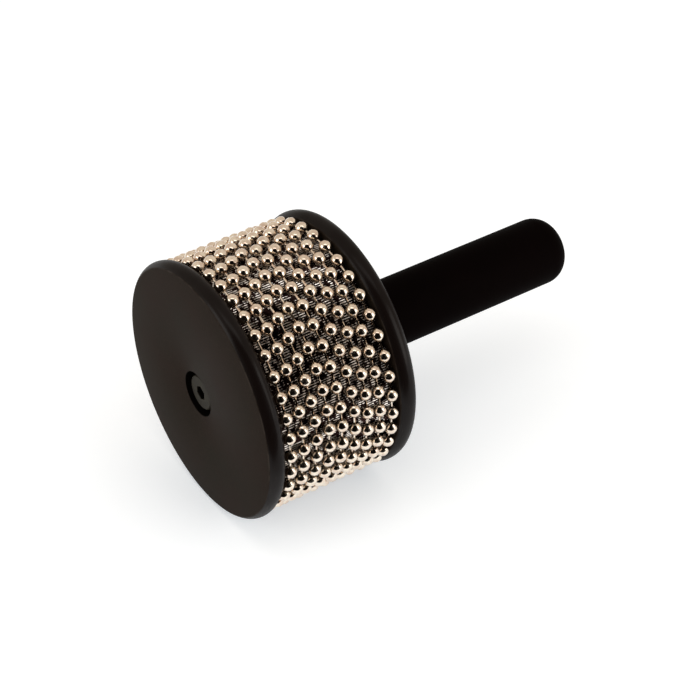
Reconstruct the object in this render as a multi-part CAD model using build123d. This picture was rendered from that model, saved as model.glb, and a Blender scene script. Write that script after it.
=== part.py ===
from build123d import *
from math import cos, pi, radians, sin, sqrt
from random import Random
import os

# Cabasa: loops of steel bead chain run loose around a ribbed drum that is held between two discs
# on a handle. Every piece is built on the drum's axis, with Z from the front face towards the
# handle. The instrument is then laid along X, resting on the rims of its discs.

# Discs, in millimetres
disc_diameter = 114.0
disc_thickness = 7.75
rim_drop = 2.1  # from the crown of the rounded rim down to the edge of each flat face
rim_proud = 0.5  # the crown of the rim stands this far above the beads

# Bead chain
loop_count = 9
bead_diameter = 5.8
ball_corner_share = 1.09  # of a round bead's radius, for a twenty-faced ball of the same mean width
chain_pitch = 8.9  # from bead to bead along a loop, before the beads are spread evenly
link_diameter = 1.0
bar_corner_share = 1.2  # of a round wire's radius, for a three-sided bar of the same mean width
link_play = 0.1  # free space between the end of a link and the flat of its bead
loop_gap = 0.34  # clear space between the beads of neighbouring loops
loop_end_gap = 0.35  # clear space between an end loop and its disc
bead_play = 0.3  # clear space between the corners of the beads and the crests of the ribs

# Ribbed sleeve of rolled sheet and the core inside it
rib_pitch = 1.07
rib_depth = 0.45
sleeve_wall = 0.6  # under the grooves between the ribs
sleeve_fit = 0.05  # between the sleeve and the core
seam_gap = 0.4  # where the two ends of the rolled sheet meet

# Through bolt, its washer and the threaded insert in the handle
bolt_diameter = 8.0
bolt_hole_gap = 0.2  # around the shank
head_diameter = 15.6
head_height = 2.6
head_chamfer = 0.5
head_recess = 1.3  # from the front face down to the top of the head
head_gap = 2.2  # around the head, for the counterbore
socket_width = 5.8  # across the flats
socket_depth = 3.4
washer_thickness = 1.0
washer_gap = 0.6  # between the washer and the wall of the counterbore
insert_diameter = 12.0
insert_length = 20.0
insert_fit = 0.05  # to the bolt inside and to the handle outside
bolt_run_out = 2.0  # the bolt's tip passes the end of the insert by this much
bolt_tip_chamfer = 0.8
bore_run_out = 3.0  # from the bolt's tip to the floor of the handle's bore

# Handle
handle_diameter = 30.4
handle_length = 115.0
handle_end_share = 0.66  # of the handle's radius, for the round of its end
handle_base_chamfer = 0.8

# Sizes that follow
disc_radius = disc_diameter / 2
rim_edge_radius = disc_radius - rim_drop
bead_radius = bead_diameter / 2
ball_corner_radius = ball_corner_share * bead_radius
bar_corner_radius = bar_corner_share * link_diameter / 2
loop_radius = disc_radius - rim_proud - bead_radius
loop_step = bead_diameter + loop_gap
drum_length = loop_count * bead_diameter + (loop_count - 1) * loop_gap + 2 * loop_end_gap
bead_count = round(2 * pi * loop_radius / chain_pitch)
bead_angle = 360 / bead_count
turn_draw = Random(loop_count)
loop_turns = [turn_draw.random() for loop in range(loop_count)]  # where loose loops stand, in bead steps
crest_radius = loop_radius - ball_corner_radius - bead_play
groove_radius = crest_radius - rib_depth
sleeve_bore_radius = groove_radius - sleeve_wall
core_radius = sleeve_bore_radius - sleeve_fit
rib_count = round(2 * pi * crest_radius / rib_pitch)
bolt_radius = bolt_diameter / 2
bolt_hole_radius = bolt_radius + bolt_hole_gap
counterbore_radius = head_diameter / 2 + head_gap
counterbore_depth = head_recess + head_height + washer_thickness
insert_radius = insert_diameter / 2
insert_bore_radius = bolt_radius + insert_fit
handle_radius = handle_diameter / 2
handle_end_round = handle_end_share * handle_radius
handle_bore_radius = insert_radius + insert_fit

# Stations along the axis, from the front face
drum_start = disc_thickness
drum_end = drum_start + drum_length
handle_start = drum_end + disc_thickness
insert_end = handle_start + insert_length
bolt_tip = insert_end + bolt_run_out
handle_bore_end = bolt_tip + bore_run_out
handle_end = handle_start + handle_length

laid_down = Pos(-handle_end / 2, 0, disc_radius) * Rot(0, 90, 0)


def turned(*outline):
    """A piece turned on the axis from lines and arcs that give radius and height."""
    section = make_face(Curve() + list(outline))
    return revolve(Plane.XZ * section, Axis.Z)


def rounded_rim(bottom, top):
    """The arc that bulges from the edge of one face of a disc to the edge of the other."""
    middle = (bottom + top) / 2
    return ThreePointArc((rim_edge_radius, bottom), (disc_radius, middle), (rim_edge_radius, top))


def front_disc():
    """The outer disc, counterbored for the head of the through bolt."""
    steps = Polyline(
        (rim_edge_radius, disc_thickness),
        (bolt_hole_radius, disc_thickness),
        (bolt_hole_radius, counterbore_depth),
        (counterbore_radius, counterbore_depth),
        (counterbore_radius, 0),
        (rim_edge_radius, 0),
    )
    return turned(rounded_rim(0, disc_thickness), steps)


def rear_disc():
    """The disc on the handle's side, drilled for the bolt."""
    steps = Polyline(
        (rim_edge_radius, handle_start),
        (bolt_hole_radius, handle_start),
        (bolt_hole_radius, drum_end),
        (rim_edge_radius, drum_end),
    )
    return turned(rounded_rim(drum_end, handle_start), steps)


def drum_core():
    """The wooden core that fills the sleeve and spaces the discs."""
    section = Circle(core_radius) - Circle(bolt_hole_radius)
    return Pos(Z=drum_start) * extrude(section, drum_length)


def ribbed_sleeve():
    """Rolled sheet with ribs along the axis, open at its seam."""
    outline = []
    for rib in range(rib_count):
        for radius, part_of_rib in ((crest_radius, 0.0), (groove_radius, 0.5)):
            angle = 2 * pi * (rib + part_of_rib) / rib_count
            outline.append((radius * cos(angle), radius * sin(angle)))
    sheet = make_face(Polyline(*outline, close=True)) - Circle(sleeve_bore_radius)
    seam = Pos(X=crest_radius) * Rectangle(crest_radius, seam_gap)
    return Pos(Z=drum_start) * extrude(sheet - seam, drum_length)


def through_bolt():
    """The socket-head bolt that clamps discs, core and handle together."""
    head_radius = head_diameter / 2
    head_under = head_recess + head_height
    outline = Polyline(
        (0, head_recess),
        (head_radius - head_chamfer, head_recess),
        (head_radius, head_recess + head_chamfer),
        (head_radius, head_under),
        (bolt_radius, head_under),
        (bolt_radius, bolt_tip - bolt_tip_chamfer),
        (bolt_radius - bolt_tip_chamfer, bolt_tip),
        (0, bolt_tip),
        close=True,
    )
    socket = extrude(RegularPolygon(socket_width / 2, 6, major_radius=False), socket_depth)
    return turned(outline) - Pos(Z=head_recess) * socket


def bolt_washer():
    """The flat washer under the head of the bolt."""
    ring = Circle(counterbore_radius - washer_gap) - Circle(bolt_hole_radius)
    return Pos(Z=head_recess + head_height) * extrude(ring, washer_thickness)


def handle_insert():
    """The threaded metal insert in the end of the handle."""
    ring = Circle(insert_radius) - Circle(insert_bore_radius)
    return Pos(Z=handle_start) * extrude(ring, insert_length)


def handle():
    """The turned handle with its rounded end, bored for the insert and the bolt's tip."""
    end_centre = (handle_radius - handle_end_round, handle_end - handle_end_round)
    return turned(
        Polyline(
            (handle_radius, handle_end - handle_end_round),
            (handle_radius, handle_start + handle_base_chamfer),
            (handle_radius - handle_base_chamfer, handle_start),
            (handle_bore_radius, handle_start),
            (handle_bore_radius, handle_bore_end),
            (0, handle_bore_end),
            (0, handle_end),
            (handle_radius - handle_end_round, handle_end),
        ),
        CenterArc(end_centre, handle_end_round, 0, 90),
    )


def ball_corners(radius):
    """The twelve corners of a twenty-faced ball that has two of its faces square to Z."""
    flat_height = radius * sqrt((5 + 2 * sqrt(5)) / 15)
    waist_height = radius * sqrt((5 - 2 * sqrt(5)) / 15)
    rings = ((flat_height, 0), (waist_height, 60), (-waist_height, 0), (-flat_height, 60))
    corners = []
    for height, turn in rings:
        ring_radius = sqrt(radius**2 - height**2)
        for third in range(3):
            angle = radians(turn + 120 * third)
            corners.append((ring_radius * cos(angle), ring_radius * sin(angle), height))
    return corners


def bead():
    """One bead of the chain, with a flat at each end where a link meets it."""
    return ConvexPolyhedron(ball_corners(ball_corner_radius))


def link():
    """The bar between two beads, shorter than the space between their flats by its play."""
    flat_height = max(corner[2] for corner in ball_corners(ball_corner_radius))
    half_angle = radians(bead_angle / 2)
    half_length = loop_radius * sin(half_angle) - flat_height / cos(half_angle) - link_play
    return extrude(RegularPolygon(bar_corner_radius, 3), half_length, both=True)


def loop_station(loop):
    """Where the middle of a loop stands along the axis."""
    return drum_start + loop_end_gap + bead_radius + loop * loop_step


def chain_loop(piece, loop, half_steps):
    """Copies of a piece around one loop, each with its own Z along the chain."""
    radius = loop_radius * cos(radians(half_steps * bead_angle / 2))
    seat = Pos(X=radius, Z=loop_station(loop)) * Rot(X=90)
    first = loop_turns[loop] + half_steps / 2
    return Compound([Rot(Z=(first + n) * bead_angle) * seat * piece for n in range(bead_count)])


def save(name, piece):
    """Lays a piece down in the shared frame and writes its file."""
    export_step(laid_down * piece, f"parts/{name}.step")


os.makedirs("parts", exist_ok=True)
save("front_disc", front_disc())
save("rear_disc", rear_disc())
save("drum_core", drum_core())
save("ribbed_sleeve", ribbed_sleeve())
save("through_bolt", through_bolt())
save("bolt_washer", bolt_washer())
save("handle_insert", handle_insert())
save("handle", handle())
for loop in range(loop_count):
    save(f"bead_loop_{loop + 1}", chain_loop(bead(), loop, 0))
    save(f"link_loop_{loop + 1}", chain_loop(link(), loop, 1))
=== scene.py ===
import bmesh
import bpy
from math import asin, atan2, cos, pi, radians, sin
from mathutils import Matrix, Vector


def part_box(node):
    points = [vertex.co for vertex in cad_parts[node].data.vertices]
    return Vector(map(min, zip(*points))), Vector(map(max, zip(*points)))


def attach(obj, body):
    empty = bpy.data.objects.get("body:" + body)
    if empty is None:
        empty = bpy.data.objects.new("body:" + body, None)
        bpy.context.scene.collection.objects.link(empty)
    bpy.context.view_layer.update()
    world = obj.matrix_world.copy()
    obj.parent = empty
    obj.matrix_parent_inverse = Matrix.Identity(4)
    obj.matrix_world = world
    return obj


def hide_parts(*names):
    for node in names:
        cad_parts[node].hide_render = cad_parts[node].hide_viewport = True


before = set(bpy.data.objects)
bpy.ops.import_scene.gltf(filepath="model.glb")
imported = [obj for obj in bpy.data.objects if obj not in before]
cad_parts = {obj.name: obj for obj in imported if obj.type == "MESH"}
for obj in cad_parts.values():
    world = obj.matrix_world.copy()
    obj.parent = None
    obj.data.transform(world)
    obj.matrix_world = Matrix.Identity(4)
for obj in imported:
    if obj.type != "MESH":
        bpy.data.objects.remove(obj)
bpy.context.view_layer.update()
MM = 0.001

# Places read from the frame: the drum's axis runs along X
front_low, front_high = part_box("front_disc")
rear_low, rear_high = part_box("rear_disc")
handle_low, handle_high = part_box("handle")
sleeve_low, sleeve_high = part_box("ribbed_sleeve")
bolt_low, bolt_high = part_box("through_bolt")
counterbore_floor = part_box("bolt_washer")[1].x
AXIS = Vector((0, 0, (front_low.z + front_high.z) / 2))
ALONG_AXIS = (1, 0, 0)
DISC_RADIUS = (front_high.z - front_low.z) / 2
HANDLE_RADIUS = (handle_high.z - handle_low.z) / 2
CREST_RADIUS = (sleeve_high.y - sleeve_low.y) / 2

# Discs and handle
RIM_DROP = 2.1 * MM  # from the crown of the rim down to the edge of each face
RIM_STEPS = 12
CREASE_RADIUS = DISC_RADIUS - RIM_DROP
CREASE_BLEND = 0.5 * MM  # over which the finish changes from face to rim
COUNTERBORE_RADIUS = 10.0 * MM
COUNTERBORE_BLEND = 0.3 * MM
BOLT_HOLE_RADIUS = 4.2 * MM
INSERT_HOLE_RADIUS = 6.05 * MM
BORE_RUN_OUT = 3 * MM  # from the bolt's tip to the floor of the handle's bore
HANDLE_END_SHARE = 0.66  # of the handle's radius, for the round of its end
HANDLE_END_STEPS = 12
HANDLE_BASE = 0.8 * MM  # chamfer where the handle meets its disc
TURN_STEPS = 128
EDGE_SOFTENING = 0.22 * MM
EDGE_SEGMENTS = 2
SHARP_ANGLE = radians(32)
MERGE_DISTANCE = 0.0005 * MM

# Head of the bolt: from its top down, where its worn top colour ends and the painted shade below it
# is full
HEAD_TOP_DEPTH = 0.1 * MM
HEAD_SHADE_DEPTH = 0.6 * MM

# Ribbed sleeve
RIB_COUNT = 294
RIB_STEPS = 6
RIB_DEPTH = 0.45 * MM
RIB_SHADE_DEPTHS = (0.6, 0.2)  # shares of a rib's depth below its crest, where the painted shade thins and ends
RIB_MERGE_DISTANCE = 0.002 * MM
SHEET_WALL = 0.6 * MM

# Bead chain
LOOPS = range(1, 10)
LOOP_RADIUS = 53.6 * MM
BEAD_COUNT = 38
BEAD_STEP = 2 * pi / BEAD_COUNT
BEAD_RADIUS = 2.9 * MM
BEAD_SEGMENTS = 12
BEAD_RINGS = 8
BEAD_LIP = 0.35 * MM  # depth of the dimple where a link goes in
POLE_SHARE = 0.99  # of a bead's radius, above which only its two poles lie
LINK_RADIUS = 0.5 * MM
LINK_SEGMENTS = 6
LINK_SUNK = 0.25 * MM

# Camera, from the photograph's outline
CAMERA_AZIMUTH = radians(-34.0)
CAMERA_ELEVATION = radians(39.3)
CAMERA_TARGET = Vector((-34.7, -25.5, 71.0)) * MM
CAMERA_DISTANCE = 823.7 * MM
CAMERA_SENSOR = 36.0
FOCAL_PIXELS = 2000
IMAGE_PIXELS = 700

# Studio, in metres: a soft panel on each side and one above, a pale warm surround, and a black
# card in front of the drum that only reflections show
STUDIO_MIDDLE = Vector((-30.0, 0.0, 60.0)) * MM
PANEL_DISTANCE = 0.9
PANEL_ANGLE = radians(61)
PANEL_SIZE = (0.76, 0.7)
PANEL_HEIGHT = 0.37
PANEL_POWER = 3.4
PANEL_WHITE = (1.0, 0.97, 0.93)
TOP_DISTANCE = 0.9
TOP_ELEVATION = radians(79)
TOP_SIZE = (0.7, 0.22)
TOP_POWER = 0.6
CARD_FOOT = 0.17
CARD_LEAN = radians(82)
CARD_SIZE = (0.47, 0.77)
SURROUND = (0.74, 0.66, 0.57, 1)
FLOOR_REACH = 3.0
PAPER_GLOW = 0.33

# Colour sockets of a Mix node
MIX_FIRST, MIX_SECOND, MIX_RESULT = 6, 7, 2


class Value:
    """A shader socket that takes part in Python arithmetic."""

    def __init__(self, finish, socket):
        self.finish = finish
        self.socket = socket

    def math(self, operation, first, second):
        return self.finish.node("ShaderNodeMath", {"operation": operation}, {0: first, 1: second})

    def __add__(self, other):
        return self.math("ADD", self, other)

    def __rsub__(self, other):
        return self.math("SUBTRACT", other, self)

    def __mul__(self, other):
        return self.math("MULTIPLY", self, other)

    __radd__ = __add__
    __rmul__ = __mul__


class Finish:
    """A procedural material around one Principled shader."""

    def __init__(self, name, **constants):
        self.material = bpy.data.materials.new(name)
        self.material.use_nodes = True
        self.nodes = self.material.node_tree.nodes
        self.links = self.material.node_tree.links
        self.shader = self.nodes["Principled BSDF"]
        for socket, value in constants.items():
            self.shader.inputs[socket.replace("_", " ")].default_value = value
        self.place = self.node("ShaderNodeTexCoord", {}, {}, "Object")

    def node(self, kind, settings, sockets, output=0):
        """Adds a node, with its settings first and then its sockets; returns one of its outputs."""
        made = self.nodes.new(kind)
        for setting, value in settings.items():
            setattr(made, setting, value)
        for socket, value in sockets.items():
            self.feed(made.inputs[socket], value)
        return Value(self, made.outputs[output])

    def feed(self, socket, value):
        """Links a value to a socket, or sets a constant on it."""
        if isinstance(value, Value):
            self.links.new(value.socket, socket)
        else:
            socket.default_value = value

    def set(self, socket, value):
        """Feeds one of the shader's own sockets."""
        self.feed(self.shader.inputs[socket], value)

    def noise(self, scale, detail=3.0, place=None):
        """Noise from 0 to 1, its scale in waves to the metre."""
        sockets = {"Vector": place or self.place, "Scale": scale, "Detail": detail}
        return self.node("ShaderNodeTexNoise", {}, sockets, "Fac")

    def mask(self, value, low, high):
        """Rises smoothly from 0, where a value is low, to 1, where it is high."""
        sockets = {"Value": value, "From Min": low, "From Max": high}
        return self.node("ShaderNodeMapRange", {"interpolation_type": "SMOOTHSTEP"}, sockets)

    def mix(self, share, first, second):
        """Goes from a first colour, plain or mixed, to a second plain one."""
        start = (*first, 1) if isinstance(first, tuple) else first
        sockets = {"Factor": share, MIX_FIRST: start, MIX_SECOND: (*second, 1)}
        return self.node("ShaderNodeMix", {"data_type": "RGBA"}, sockets, MIX_RESULT)

    def vector(self, operation, *values, output=0):
        """Arithmetic on vectors, linked or plain."""
        sockets = dict(enumerate(values))
        return self.node("ShaderNodeVectorMath", {"operation": operation}, sockets, output)

    def stretched(self, scale):
        """Object coordinates, with a pattern drawn out along an axis where its scale is small."""
        return self.node("ShaderNodeMapping", {}, {"Vector": self.place, "Scale": scale})

    def from_axis(self):
        """Distance from the drum's axis."""
        across = self.vector("MULTIPLY", self.vector("SUBTRACT", self.place, AXIS), (0, 1, 1))
        return self.vector("LENGTH", across, output="Value")

    def bump(self, height, strength, distance):
        """Fine relief in the shading."""
        sockets = {"Height": height, "Strength": strength, "Distance": distance}
        self.set("Normal", self.node("ShaderNodeBump", {}, sockets))


def disc_lacquer():
    """Black lacquer, speckled and dull on the faces, smoother on the rim, with painted shade on the
    rim and in the counterbore and a painted highlight along the crease.
    """
    cool_black, warm_black = (0.0118, 0.0112, 0.0078), (0.0190, 0.0115, 0.0098)
    speck, speck_share = (0.026, 0.0210, 0.0165), 0.6
    # A lighter grey, broken by noise, along the crease: a painted highlight.
    crease_highlight_grey, crease_highlight_share = (0.040, 0.034, 0.030), 0.6
    # Darker black for the rim: painted shade, as the rim turns away from the light.
    rim_shade_black = (0.0046, 0.0028, 0.0025)
    # Near-black inside the counterbore: painted shade in the recess.
    bore_shade_black = (0.0015, 0.0012, 0.0010)
    finish = Finish("disc_lacquer", Specular_IOR_Level=0.010, Coat_Roughness=0.24)
    speckle = finish.mask(finish.noise(scale=1500, detail=2), low=0.52, high=0.7)
    cloud = finish.noise(scale=45)
    radius = finish.from_axis()
    on_rim = finish.mask(radius, CREASE_RADIUS, CREASE_RADIUS + CREASE_BLEND)
    near_rim = finish.mask(radius, CREASE_RADIUS - CREASE_BLEND, CREASE_RADIUS) * (1 - on_rim)
    # Painted highlight along the crease where the face meets the rim.
    lit_patches = near_rim * finish.mask(finish.noise(scale=160), low=0.4, high=0.65)
    # Inside the counterbore's radius the colour turns to the painted shade.
    outside = finish.mask(radius, COUNTERBORE_RADIUS, COUNTERBORE_RADIUS + COUNTERBORE_BLEND)
    black = finish.mix(cloud, cool_black, warm_black)
    speckled = finish.mix(speckle * speck_share, black, speck)
    # Painted shade: the rim's colour is darker than the faces'.
    smooth = finish.mix(on_rim, speckled, rim_shade_black)
    wear_and_highlight = finish.mix(lit_patches * crease_highlight_share, smooth, crease_highlight_grey)
    finish.set("Base Color", finish.mix(1 - outside, wear_and_highlight, bore_shade_black))
    finish.set("Roughness", 0.40 + cloud * 0.08 + speckle * 0.1)
    finish.set("Coat Weight", on_rim * (0.05 + 0.35 * cloud))
    finish.bump(finish.noise(scale=2400, detail=2), strength=0.12, distance=0.05 * MM)
    return finish.material


def handle_lacquer():
    """Matte black lacquer over turned wood, with faint rings from turning."""
    deep_black, brown_black = (0.0012, 0.0006, 0.0006), (0.0024, 0.0011, 0.0011)
    finish = Finish("handle_lacquer", Specular_IOR_Level=0.01)
    rings = finish.noise(scale=220, detail=2, place=finish.stretched((6, 1, 1)))
    finish.set("Base Color", finish.mix(finish.noise(scale=60), deep_black, brown_black))
    finish.set("Roughness", 0.55 + rings * 0.15)
    finish.bump(rings, strength=0.08, distance=0.05 * MM)
    return finish.material


def bead_nickel():
    """Polished nickel plate, warm, with faint smears and fine scratches."""
    dull_nickel, bright_nickel = (0.73, 0.60, 0.50), (0.87, 0.78, 0.66)
    finish = Finish("bead_nickel", Metallic=1.0)
    smear = finish.mask(finish.noise(scale=420), low=0.38, high=0.62)
    finish.set("Base Color", finish.mix(smear, dull_nickel, bright_nickel))
    finish.set("Roughness", 0.07 + smear * 0.09)
    finish.bump(finish.noise(scale=5200, detail=2), strength=0.03, distance=0.02 * MM)
    return finish.material


def sleeve_steel():
    """Rolled steel, bare and bright in patches on its crests, with painted shade in the grooves and
    over the rest of the crests.
    """
    # Near-black and brown over the sleeve: painted shade where beads and grooves keep the light off
    # the steel.
    dark_shade, brown_shade = (0.007, 0.003, 0.003), (0.022, 0.011, 0.010)
    bare_steel = (1.0, 0.97, 0.94)
    finish = Finish("sleeve_steel", Metallic=1.0)
    brushed = finish.noise(scale=900, detail=3, place=finish.stretched((0.1, 1, 1)))
    shade_thinning, shade_gone = [CREST_RADIUS - share * RIB_DEPTH for share in RIB_SHADE_DEPTHS]
    raised = finish.mask(finish.from_axis(), shade_thinning, shade_gone)
    patches = finish.noise(scale=330, detail=2, place=finish.stretched((1.8, 1, 1)))
    # Bare steel shows only in these crest patches, where light reaches between the beads; elsewhere
    # the painted shade lies over the crests too.
    lit_patches = finish.mask(patches, low=0.47, high=0.53)
    painted_shade = finish.mix(finish.noise(scale=90), dark_shade, brown_shade)
    finish.set("Base Color", finish.mix(raised * lit_patches, painted_shade, bare_steel))
    finish.set("Roughness", 0.22 + brushed * 0.12)
    dents = finish.noise(scale=650, detail=2)
    finish.bump(dents + 0.2 * brushed, strength=0.3, distance=0.15 * MM)
    return finish.material


def bolt_steel():
    """Black oxide, worn greyer in patches on top of the head, with near-black painted shade in its
    socket and round its side.
    """
    oxide_grey, worn_grey = (0.019, 0.0174, 0.0132), (0.030, 0.0276, 0.0215)
    # Near-black below the head's top, in its socket and round its side: painted shade.
    socket_shade_black = (0.0020, 0.0017, 0.0013)
    finish = Finish("bolt_steel", Metallic=0.1, Specular_IOR_Level=0.014)
    along = finish.node("ShaderNodeSeparateXYZ", {}, {0: finish.place}, "X")
    below = finish.mask(along, bolt_low.x + HEAD_TOP_DEPTH, bolt_low.x + HEAD_SHADE_DEPTH)
    wear_and_highlight = finish.mask(finish.noise(scale=420), low=0.4, high=0.7)
    grey = finish.mix(wear_and_highlight, oxide_grey, worn_grey)
    # Below the head's top the colour turns to the painted shade.
    finish.set("Base Color", finish.mix(below, grey, socket_shade_black))
    finish.set("Roughness", 0.36 + wear_and_highlight * 0.12)
    finish.bump(finish.noise(scale=3000, detail=2), strength=0.06, distance=0.03 * MM)
    return finish.material


def core_wood():
    """Plain turned wood with its grain along the axis."""
    dark_grain, pale_grain = (0.30, 0.18, 0.095), (0.52, 0.36, 0.21)
    finish = Finish("core_wood", Roughness=0.6)
    grain = finish.noise(scale=260, detail=4, place=finish.stretched((0.08, 1, 1)))
    finish.set("Base Color", finish.mix(grain, dark_grain, pale_grain))
    finish.bump(grain, strength=0.15, distance=0.1 * MM)
    return finish.material


def insert_brass():
    """Plain brass, a little tarnished."""
    dull_brass, clean_brass = (0.45, 0.30, 0.11), (0.72, 0.54, 0.25)
    finish = Finish("insert_brass", Metallic=1.0)
    tarnish = finish.noise(scale=300)
    finish.set("Base Color", finish.mix(tarnish, dull_brass, clean_brass))
    finish.set("Roughness", 0.28 + tarnish * 0.2)
    return finish.material


def floor_paper():
    """White paper that is seen, and shown in metal and glass, a little brighter than it is lit."""
    grey_paper, white_paper = (0.88, 0.92, 0.97), (0.90, 0.94, 0.99)
    no_glow, cool_glow = (0.0, 0.0, 0.0), (0.8, 0.9, 1.0)
    paper = Finish(
        "floor_paper", Specular_IOR_Level=0.1, Roughness=0.9, Emission_Strength=PAPER_GLOW,
    )
    paper.set("Base Color", paper.mix(paper.noise(scale=8), grey_paper, white_paper))
    seen = paper.node("ShaderNodeLightPath", {}, {}, "Is Camera Ray")
    mirrored = paper.node("ShaderNodeLightPath", {}, {}, "Is Glossy Ray")
    through = paper.node("ShaderNodeLightPath", {}, {}, "Is Transmission Ray")
    paper.set("Emission Color", paper.mix(seen + mirrored + through, no_glow, cool_glow))
    return paper.material


def black_cloth():
    """Black cloth on the card that the beads mirror."""
    deep_black, soft_black = (0.004, 0.004, 0.004), (0.008, 0.008, 0.008)
    cloth = Finish("black_cloth", Roughness=1.0, Specular_IOR_Level=0.0)
    cloth.set("Base Color", cloth.mix(cloth.noise(scale=30), deep_black, soft_black))
    return cloth.material


def placed(name, mesh, material):
    """Turns a bmesh into an object of one finish."""
    data = bpy.data.meshes.new(name)
    mesh.to_mesh(data)
    mesh.free()
    data.materials.append(material)
    made = bpy.data.objects.new(name, data)
    bpy.context.scene.collection.objects.link(made)
    return made


def finished(name, mesh, material, body, node):
    """Turns a bmesh into a piece that stands for a CAD node and rides on its body."""
    bmesh.ops.remove_doubles(mesh, verts=mesh.verts, dist=MERGE_DISTANCE)
    bmesh.ops.recalc_face_normals(mesh, faces=mesh.faces)
    for face in mesh.faces:
        face.smooth = True
    for edge in mesh.edges:
        edge.smooth = edge.is_boundary or edge.calc_face_angle(0) < SHARP_ANGLE
    piece = placed(name, mesh, material)
    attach(piece, body)
    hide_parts(node)


def turned(outline):
    """A closed bmesh spun about the drum's axis from points that give station and radius."""
    mesh = bmesh.new()
    points = [mesh.verts.new(AXIS + Vector((along, 0, radius))) for along, radius in outline]
    for first, second in zip(points, points[1:] + points[:1]):
        mesh.edges.new((first, second))
    bmesh.ops.spin(
        mesh, geom=mesh.verts[:] + mesh.edges[:], cent=AXIS, axis=ALONG_AXIS,
        angle=2 * pi, steps=TURN_STEPS, use_merge=True,
    )
    bmesh.ops.remove_doubles(mesh, verts=mesh.verts, dist=MERGE_DISTANCE)
    on_axis = [edge for edge in mesh.edges if edge.is_wire]
    bmesh.ops.delete(mesh, geom=on_axis, context="EDGES")
    bmesh.ops.recalc_face_normals(mesh, faces=mesh.faces)
    corners = [edge for edge in mesh.edges if edge.calc_face_angle(0) > SHARP_ANGLE]
    bmesh.ops.bevel(
        mesh, geom=corners, offset=EDGE_SOFTENING, affect="EDGES",
        segments=EDGE_SEGMENTS, profile=0.5, material=-1,
    )
    return mesh


def repeated(mesh, step, count):
    """Copies a shape round the drum's axis, until there are so many of it, a step apart."""
    bmesh.ops.spin(
        mesh, geom=mesh.verts[:] + mesh.edges[:] + mesh.faces[:], cent=AXIS, axis=ALONG_AXIS,
        angle=step * (count - 1), steps=count - 1, use_duplicate=True,
    )
    return mesh


def rim(start, end):
    """Points of the arc that bulges from one face of a disc to the other."""
    half = (end - start) / 2
    arc_radius = (half**2 + RIM_DROP**2) / (2 * RIM_DROP)
    reach = asin(half / arc_radius)
    middle = (start + end) / 2
    centre = DISC_RADIUS - arc_radius
    turns = [reach * (2 * step / RIM_STEPS - 1) for step in range(RIM_STEPS + 1)]
    return [(middle + arc_radius * sin(turn), centre + arc_radius * cos(turn)) for turn in turns]


def front_disc_outline():
    """Section of the front disc: rim, bolt hole and counterbore."""
    return [
        *rim(front_low.x, front_high.x),
        (front_high.x, BOLT_HOLE_RADIUS), (counterbore_floor, BOLT_HOLE_RADIUS),
        (counterbore_floor, COUNTERBORE_RADIUS), (front_low.x, COUNTERBORE_RADIUS),
    ]


def rear_disc_outline():
    """Section of the rear disc: rim and bolt hole."""
    return [
        *rim(rear_low.x, rear_high.x),
        (rear_high.x, BOLT_HOLE_RADIUS), (rear_low.x, BOLT_HOLE_RADIUS),
    ]


def handle_outline():
    """Section of the handle: bore, base, side and rounded end."""
    end_radius = HANDLE_END_SHARE * HANDLE_RADIUS
    along, out = handle_high.x - end_radius, HANDLE_RADIUS - end_radius
    turns = [pi / 2 * step / HANDLE_END_STEPS for step in range(HANDLE_END_STEPS + 1)]
    end = [(along + end_radius * sin(turn), out + end_radius * cos(turn)) for turn in turns]
    bore_end = bolt_high.x + BORE_RUN_OUT
    return [
        (bore_end, 0), (bore_end, INSERT_HOLE_RADIUS), (handle_low.x, INSERT_HOLE_RADIUS),
        (handle_low.x, HANDLE_RADIUS - HANDLE_BASE), (handle_low.x + HANDLE_BASE, HANDLE_RADIUS),
        *end, (handle_high.x, 0),
    ]


def ribs():
    """Rolled sheet with rounded ribs along the axis, open by one rib at its seam underneath."""
    step = 2 * pi / RIB_COUNT
    bore_radius = CREST_RADIUS - RIB_DEPTH - SHEET_WALL
    mesh = bmesh.new()
    edges = []
    for radius, depth in ((CREST_RADIUS, RIB_DEPTH), (bore_radius, 0)):
        points = []
        for part in range(RIB_STEPS + 1):
            turn = step * (part / RIB_STEPS + 0.5) - pi / 2
            reach = radius - depth * (1 - cos(2 * pi * part / RIB_STEPS - pi)) / 2
            place = Vector((sleeve_low.x, reach * cos(turn), reach * sin(turn)))
            points.append(mesh.verts.new(AXIS + place))
        edges += [mesh.edges.new(pair) for pair in zip(points, points[1:])]
    bmesh.ops.bridge_loops(mesh, edges=edges)
    repeated(mesh, step, RIB_COUNT - 1)
    bmesh.ops.remove_doubles(mesh, verts=mesh.verts, dist=RIB_MERGE_DISTANCE)
    grown = bmesh.ops.extrude_face_region(mesh, geom=mesh.faces[:])
    moved = [item for item in grown["geom"] if isinstance(item, bmesh.types.BMVert)]
    bmesh.ops.translate(mesh, verts=moved, vec=(sleeve_high.x - sleeve_low.x, 0, 0))
    return mesh


def loop_turn(node):
    """The angle of a loop's first bead, from the mean place of its corners in a bead step."""
    places = [vertex.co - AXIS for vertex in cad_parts[node].data.vertices]
    angles = [BEAD_COUNT * atan2(place.z, place.y) for place in places]
    return atan2(sum(map(sin, angles)), sum(map(cos, angles))) / BEAD_COUNT


def seat(station, angle, radius):
    """Stands a shape's own Z along the chain, at an angle round the drum."""
    middle = Matrix.Translation(AXIS + Vector((station, 0, 0)))
    return middle @ Matrix.Rotation(angle, 4, "X") @ Matrix.Translation((0, radius, 0))


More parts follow.
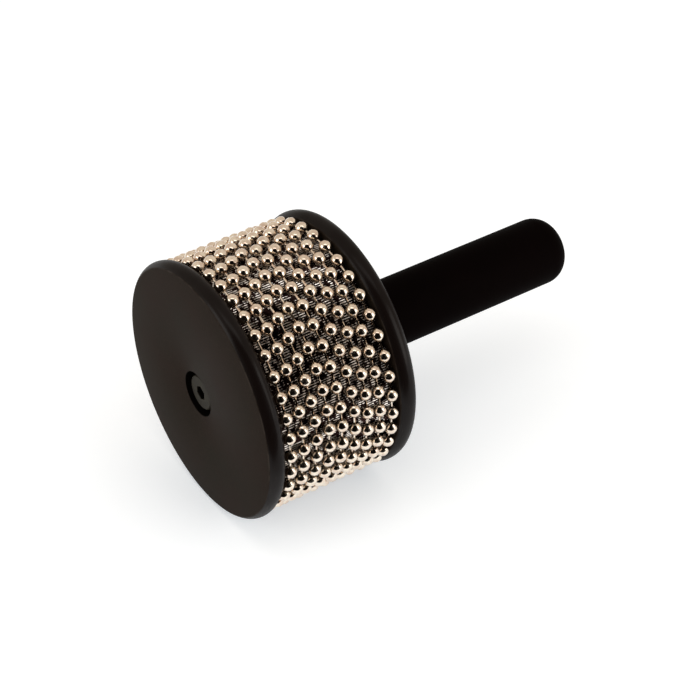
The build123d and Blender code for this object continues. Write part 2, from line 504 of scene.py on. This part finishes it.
def loop_of_beads(station, angle):
    """Round beads with a rolled lip at each end, where the links go in."""
    mesh = bmesh.new()
    bmesh.ops.create_uvsphere(
        mesh, u_segments=BEAD_SEGMENTS, v_segments=BEAD_RINGS, radius=BEAD_RADIUS,
    )
    for vertex in mesh.verts:
        if abs(vertex.co.z) > POLE_SHARE * BEAD_RADIUS:
            vertex.co.z -= BEAD_LIP * (1 if vertex.co.z > 0 else -1)
    bmesh.ops.transform(mesh, matrix=seat(station, angle, LOOP_RADIUS), verts=mesh.verts)
    return repeated(mesh, BEAD_STEP, BEAD_COUNT)


def loop_of_links(station, angle):
    """Round wires from bead to bead, their ends sunk in the lips."""
    half_step = BEAD_STEP / 2
    length = 2 * (LOOP_RADIUS * sin(half_step) - BEAD_RADIUS + LINK_SUNK)
    mesh = bmesh.new()
    bmesh.ops.create_cone(
        mesh, cap_ends=True, segments=LINK_SEGMENTS,
        radius1=LINK_RADIUS, radius2=LINK_RADIUS, depth=length,
    )
    place = seat(station, angle + half_step, LOOP_RADIUS * cos(half_step))
    bmesh.ops.transform(mesh, matrix=place, verts=mesh.verts)
    return repeated(mesh, BEAD_STEP, BEAD_COUNT)


def stage_sheet(name, size, place, material):
    """A flat sheet of the studio, which is not part of the object."""
    mesh = bmesh.new()
    bmesh.ops.create_grid(mesh, x_segments=1, y_segments=1, size=0.5)  # a square with sides of 1
    bmesh.ops.transform(mesh, matrix=place @ Matrix.Diagonal((*size, 1, 1)), verts=mesh.verts)
    sheet = placed(name, mesh, material)
    return sheet


def soft_panel(name, place, size, power):
    """A panel of light that faces the object."""
    light = bpy.data.lights.new(name, "AREA")
    light.shape = "RECTANGLE"
    light.size, light.size_y = size
    light.energy = power
    light.color = PANEL_WHITE
    lamp = bpy.data.objects.new(name, light)
    facing = (STUDIO_MIDDLE - place).to_track_quat("-Z", "Y").to_matrix().to_4x4()
    lamp.matrix_world = Matrix.Translation(place) @ facing
    lamp.visible_camera = False
    bpy.context.scene.collection.objects.link(lamp)


def studio(right, ahead):
    """The pale floor, the black card, the three panels and the pale warm surround."""
    floor_size = (2 * FLOOR_REACH, 2 * FLOOR_REACH)
    stage_sheet("floor", floor_size, Matrix.Identity(4), floor_paper())

    foot = Vector((STUDIO_MIDDLE.x, STUDIO_MIDDLE.y, 0)) - ahead * CARD_FOOT
    lying = Matrix((-right, -ahead, (0, 0, 1))).transposed().to_4x4()
    raised = Matrix.Rotation(CARD_LEAN, 4, "X") @ Matrix.Translation((0, CARD_SIZE[1] / 2, 0))
    card = stage_sheet("card", CARD_SIZE, Matrix.Translation(foot) @ lying @ raised, black_cloth())
    card.visible_camera = False
    card.visible_diffuse = False
    card.visible_shadow = False

    for name, side in (("panel_left", -1), ("panel_right", 1)):
        away = right * side * sin(PANEL_ANGLE) - ahead * cos(PANEL_ANGLE)
        place = STUDIO_MIDDLE + away * PANEL_DISTANCE
        place.z = PANEL_HEIGHT
        soft_panel(name, place, PANEL_SIZE, PANEL_POWER)
    above = Vector((0, 0, sin(TOP_ELEVATION))) - ahead * cos(TOP_ELEVATION)
    soft_panel("panel_above", STUDIO_MIDDLE + above * TOP_DISTANCE, TOP_SIZE, TOP_POWER)

    world = bpy.data.worlds.new("surround")
    world.use_nodes = True
    world.node_tree.nodes["Background"].inputs["Color"].default_value = SURROUND
    bpy.context.scene.world = world


def photograph_camera():
    """The camera at the photograph's viewing angle; returns its level right and ahead."""
    right = Vector((cos(CAMERA_AZIMUTH), sin(CAMERA_AZIMUTH), 0))
    ahead = Vector((-right.y, right.x, 0))
    back = Vector((0, 0, sin(CAMERA_ELEVATION))) - ahead * cos(CAMERA_ELEVATION)
    data = bpy.data.cameras.new("camera")
    data.sensor_width = CAMERA_SENSOR
    data.lens = CAMERA_SENSOR * FOCAL_PIXELS / IMAGE_PIXELS
    camera = bpy.data.objects.new("camera", data)
    camera.location = CAMERA_TARGET + back * CAMERA_DISTANCE
    camera.rotation_euler = (-back).to_track_quat("-Z", "Y").to_euler()
    bpy.context.scene.collection.objects.link(camera)
    bpy.context.scene.camera = camera
    return right, ahead


# CAD nodes that keep their meshes
oxide = bolt_steel()
kept_nodes = {
    "through_bolt": oxide, "bolt_washer": oxide,
    "drum_core": core_wood(), "handle_insert": insert_brass(),
}
for node, material in kept_nodes.items():
    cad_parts[node].data.materials.clear()
    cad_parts[node].data.materials.append(material)

# Pieces that stand for the other nodes
lacquer = disc_lacquer()
front = turned(front_disc_outline())
rear = turned(rear_disc_outline())
grip = turned(handle_outline())
finished("front_face", front, lacquer, "drum", "front_disc")
finished("rear_face", rear, lacquer, "drum", "rear_disc")
finished("grip", grip, handle_lacquer(), "drum", "handle")
finished("ribs", ribs(), sleeve_steel(), "drum", "ribbed_sleeve")

nickel = bead_nickel()
for loop in LOOPS:
    body, bead_node, link_node = f"chain_{loop}", f"bead_loop_{loop}", f"link_loop_{loop}"
    low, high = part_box(bead_node)
    station = (low.x + high.x) / 2
    angle = loop_turn(bead_node)
    beads = loop_of_beads(station, angle)
    links = loop_of_links(station, angle)
    finished(f"beads_{loop}", beads, nickel, body, bead_node)
    finished(f"links_{loop}", links, nickel, body, link_node)

studio(*photograph_camera())
bpy.context.scene.view_settings.view_transform = "Standard"
